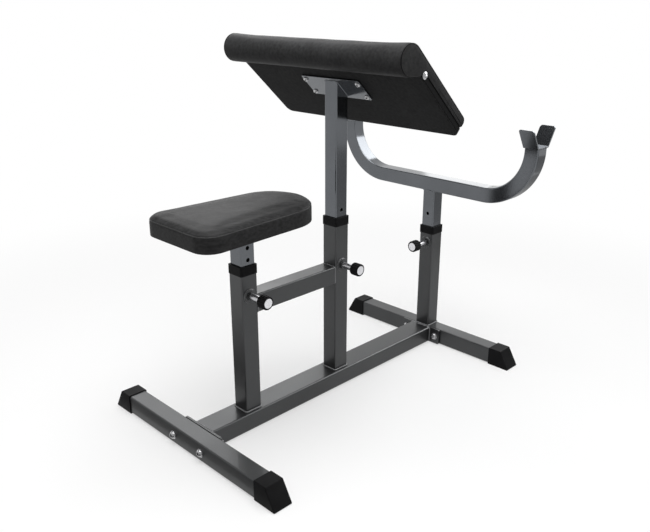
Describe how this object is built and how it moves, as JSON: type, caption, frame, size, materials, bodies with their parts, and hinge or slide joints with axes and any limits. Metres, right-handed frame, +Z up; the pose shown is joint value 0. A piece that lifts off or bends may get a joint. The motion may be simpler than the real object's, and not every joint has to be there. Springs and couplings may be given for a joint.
{
  "type": "preacher curl bench",
  "caption": "Free-standing preacher curl bench: a seat, a sloped arm pad with a rolled top and a U-shaped bar rack on height-adjustable posts locked by pull pins.",
  "frame": {"origin": "on the floor, under the centre of the bench's bounding box", "axes": "+X from the seat to the bar rack, +Y to the sitter's left, +Z up"},
  "size_m": [1.0414, 0.732, 0.9887],
  "materials": {
    "charcoal_paint": "satin metallic",
    "grey_paint": "gloss metallic",
    "black_plastic": "satin",
    "leatherette": "fine grain",
    "plywood": "sanded",
    "chrome": "polished",
    "bright_steel": "zinc plated"
  },
  "bodies": {
    "frame": {"main_beam": "charcoal_paint", "rear_end_plate": "charcoal_paint", "front_end_plate": "charcoal_paint", "rear_crossbar": "charcoal_paint", "front_crossbar": "charcoal_paint", "brace": "charcoal_paint", "foot_cap_rear_left": "black_plastic", "foot_cap_rear_right": "black_plastic", "foot_cap_front_left": "black_plastic", "foot_cap_front_right": "black_plastic", "crossbar_bolts": "chrome", "crossbar_washers": "chrome", "crossbar_nuts": "bright_steel", "seat_post_tube": "charcoal_paint", "seat_post_bush": "black_plastic", "seat_pin_boss": "charcoal_paint", "seat_pin_barrel": "bright_steel", "seat_pin_spring": "bright_steel", "pad_post_tube": "charcoal_paint", "pad_post_bush": "black_plastic", "pad_pin_boss": "charcoal_paint", "pad_pin_barrel": "bright_steel", "pad_pin_spring": "bright_steel", "rack_post_tube": "charcoal_paint", "rack_post_bush": "black_plastic", "rack_pin_boss": "charcoal_paint", "rack_pin_barrel": "bright_steel", "rack_pin_spring": "bright_steel"},
    "seat": {"seat_post": "grey_paint", "seat_post_plug": "black_plastic", "seat_mount_plate": "grey_paint", "seat_board": "plywood", "seat_cushion": "leatherette", "seat_bolts": "bright_steel", "seat_washers": "bright_steel", "seat_tee_nuts": "bright_steel"},
    "arm_pad": {"pad_post": "grey_paint", "pad_post_plug": "black_plastic", "pad_mount_plate": "grey_paint", "pad_board": "leatherette", "pad_cushion": "leatherette", "pad_bolts": "chrome", "pad_tee_nuts": "bright_steel", "pad_side_studs": "chrome"},
    "bar_rack": {"rack_post": "grey_paint", "rack_post_plug": "black_plastic", "rack_bar": "grey_paint", "rack_catch_left": "grey_paint", "rack_catch_right": "grey_paint"},
    "seat_pull_pin": {"seat_pin": "bright_steel", "seat_pin_knob": "black_plastic", "seat_pin_disc": "bright_steel"},
    "pad_pull_pin": {"pad_pin": "bright_steel", "pad_pin_knob": "black_plastic", "pad_pin_disc": "bright_steel"},
    "rack_pull_pin": {"rack_pin": "bright_steel", "rack_pin_knob": "black_plastic", "rack_pin_disc": "bright_steel"}
  },
  "joints": [
    {"name": "seat_height", "type": "slide", "parent": "frame", "child": "seat", "axis": [0, 0, 1], "range_m": [-0.063, 0.126]},
    {"name": "arm_pad_height", "type": "slide", "parent": "frame", "child": "arm_pad", "axis": [0, 0, 1], "range_m": [-0.1575, 0.0945]},
    {"name": "bar_rack_height", "type": "slide", "parent": "frame", "child": "bar_rack", "axis": [0, 0, 1], "range_m": [-0.0945, 0.14175]},
    {"name": "seat_pin_slide", "type": "slide", "parent": "frame", "child": "seat_pull_pin", "axis": [0, 1, 0], "range_m": [0, 0.012]},
    {"name": "pad_pin_slide", "type": "slide", "parent": "frame", "child": "pad_pull_pin", "axis": [0, 1, 0], "range_m": [0, 0.012]},
    {"name": "rack_pin_slide", "type": "slide", "parent": "frame", "child": "rack_pull_pin", "axis": [1, 0, 0], "range_m": [0, 0.012]}
  ]
}
